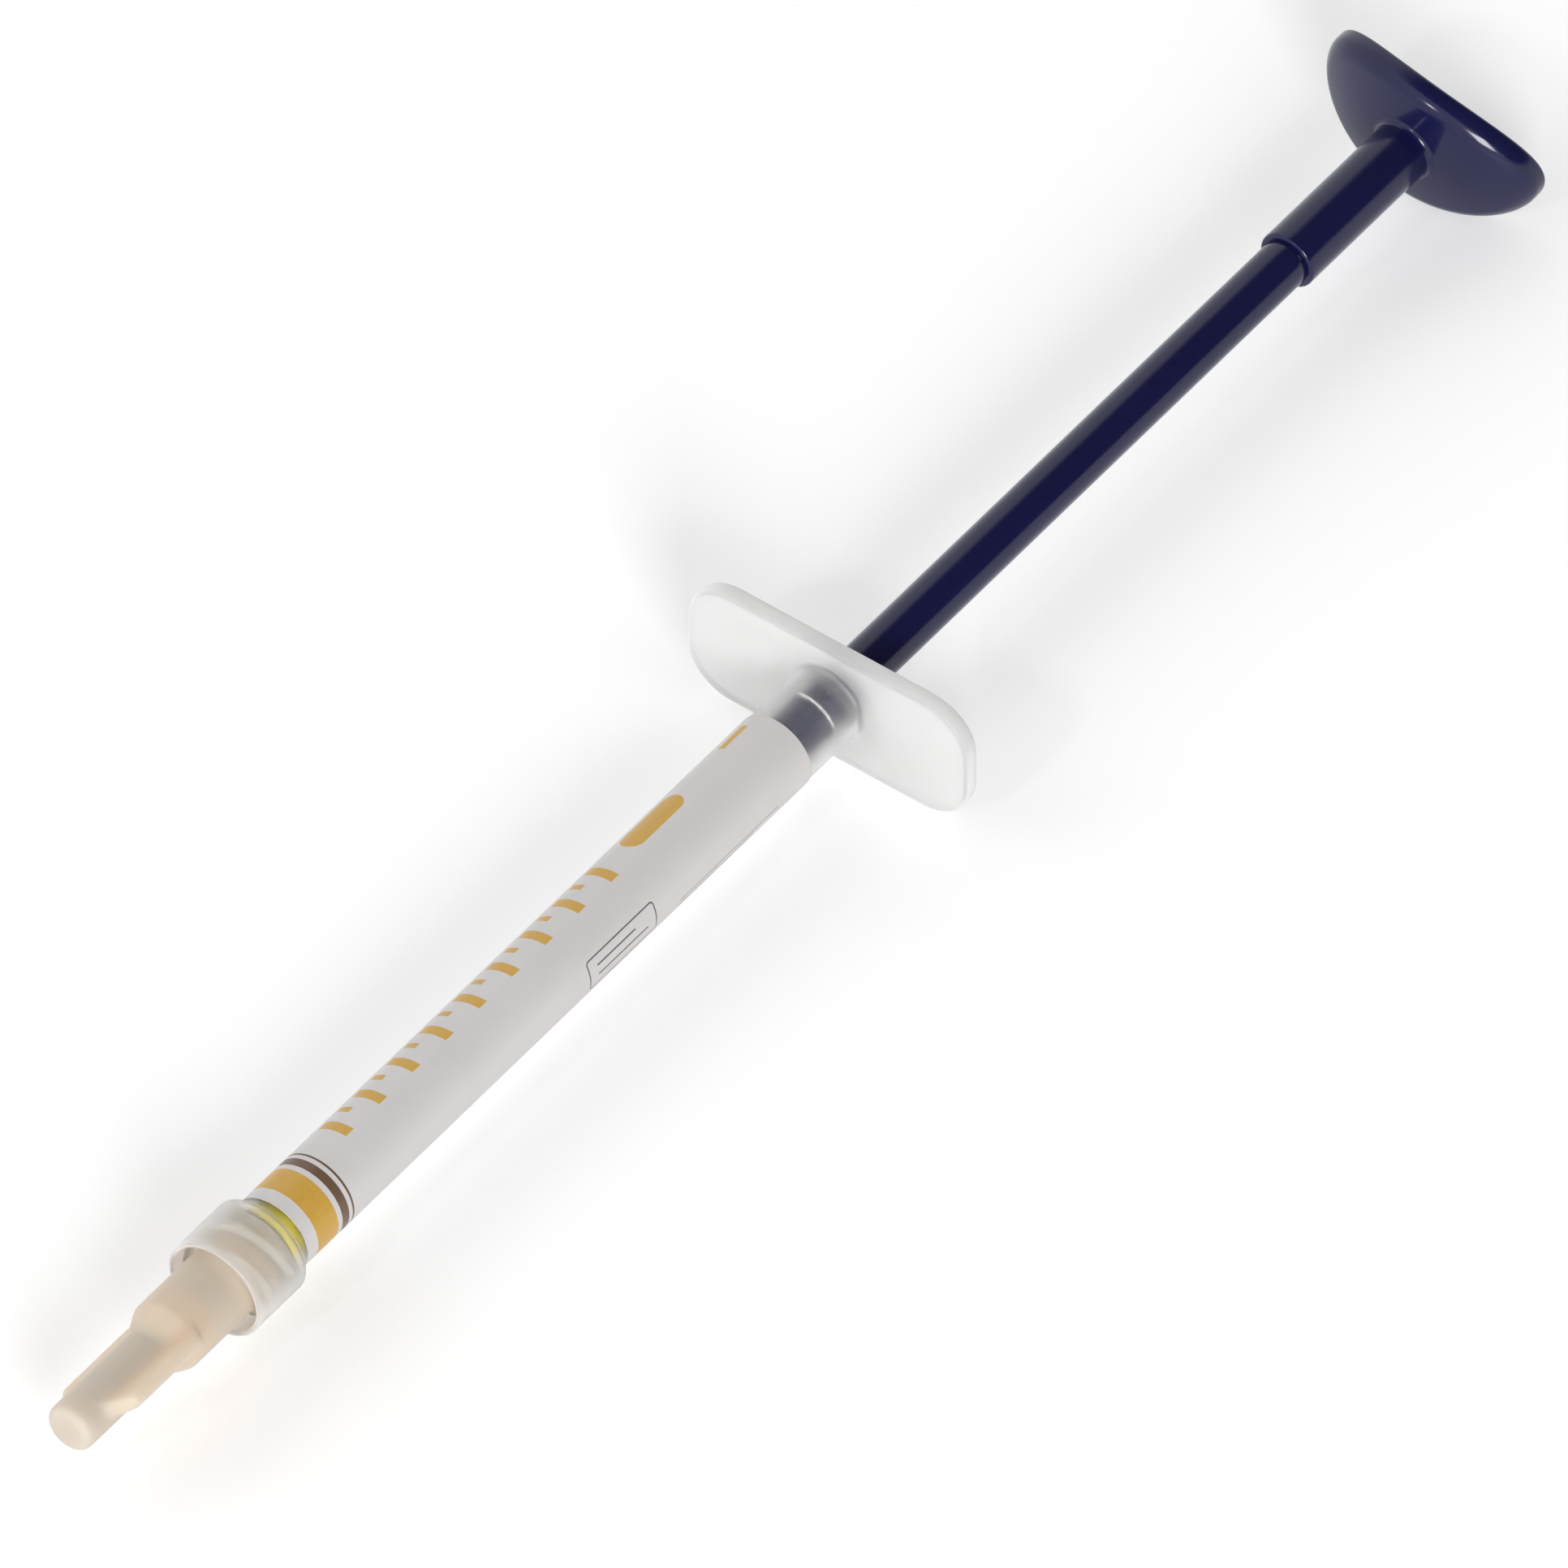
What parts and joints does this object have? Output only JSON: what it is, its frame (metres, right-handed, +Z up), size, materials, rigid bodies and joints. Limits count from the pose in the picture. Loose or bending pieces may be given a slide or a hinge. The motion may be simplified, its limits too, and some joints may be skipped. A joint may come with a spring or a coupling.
{
  "type": "dental paste syringe",
  "caption": "Slim paste syringe with a capped luer-lock nozzle, a labelled translucent barrel with a finger flange, and a dark round plunger with an oval thumb rest",
  "frame": {"origin": "Under the middle of the whole length, at the height of the lowest point, with the syringe lying on its side", "axes": "+X runs along the barrel from the nozzle to the thumb rest, +Y along the finger flange, +Z up"},
  "size_m": [0.1698, 0.026, 0.0123],
  "materials": {
    "barrel_plastic": "natural translucent moulded polypropylene",
    "label_film": "smooth printed film",
    "cap_plastic": "warm translucent moulded polyethylene",
    "plunger_plastic": "glossy dark navy moulded plastic",
    "stopper_rubber": "smooth black rubber",
    "paste": "thick yellow paste"
  },
  "bodies": {
    "barrel": {"barrel": "barrel_plastic", "label": "label_film", "paste": "paste"},
    "stopper": {"stopper": "stopper_rubber"},
    "plunger": {"plunger_rod": "plunger_plastic", "thumb_rest": "plunger_plastic"},
    "cap": {"cap": "cap_plastic"}
  },
  "joints": [
    {"name": "plunger_slide", "type": "slide", "parent": "barrel", "child": "stopper", "axis": [-1, 0, 0], "range_m": [-0.0045, 0.0561], "deforming": ["paste"]},
    {"name": "plunger_spin", "type": "hinge", "parent": "stopper", "child": "plunger", "pos_m": [0, 0, 0.00613], "axis": [1, 0, 0], "continuous": true},
    {"name": "cap_pull", "type": "slide", "parent": "barrel", "child": "cap", "axis": [-1, 0, 0], "range_m": [0, 0.012]}
  ]
}
